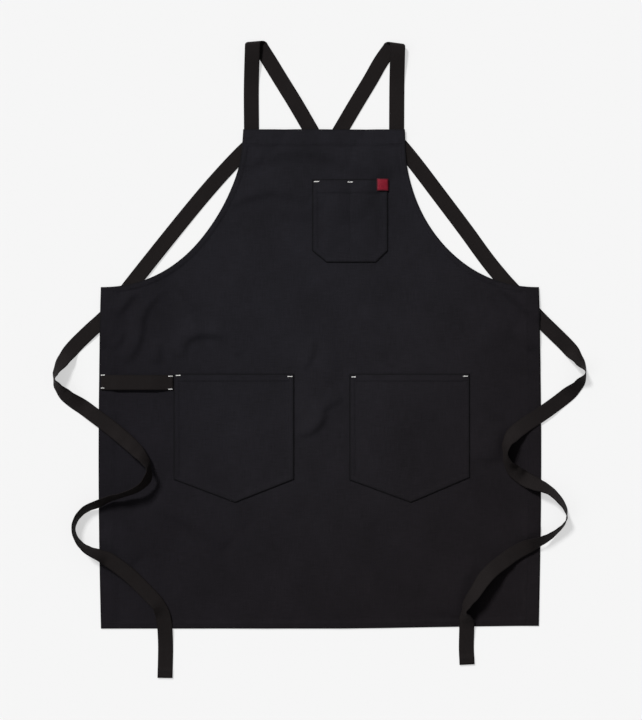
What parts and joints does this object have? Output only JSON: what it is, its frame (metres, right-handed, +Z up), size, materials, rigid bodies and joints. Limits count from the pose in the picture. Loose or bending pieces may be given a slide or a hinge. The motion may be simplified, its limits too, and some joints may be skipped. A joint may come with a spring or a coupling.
{
  "type": "cross back apron",
  "caption": "Canvas work apron laid flat, with a bib, patch pockets, a towel loop and long webbing straps that cross at the back.",
  "frame": {"origin": "the middle of the foot of the whole apron as it lies, on the surface it lies on", "axes": "+Z up out of the surface and off the apron's front, +Y towards the bib, +X to the right seen from above"},
  "size_m": [0.8954, 1.0694, 0.0379],
  "materials": {
    "canvas": "washed black cotton canvas, plain weave, matt",
    "webbing": "black cotton webbing tape with a fine rib, soft low sheen",
    "red_tape": "red woven tape, bare"
  },
  "bodies": {
    "root": {"apron_panel": "canvas", "chest_pocket": "canvas", "hip_pocket_left": "canvas", "hip_pocket_right": "canvas", "strap_left": "webbing", "strap_right": "webbing", "strap_keeper_left": "webbing", "strap_keeper_right": "webbing", "towel_loop": "webbing", "pocket_tab": "red_tape"}
  },
  "joints": []
}
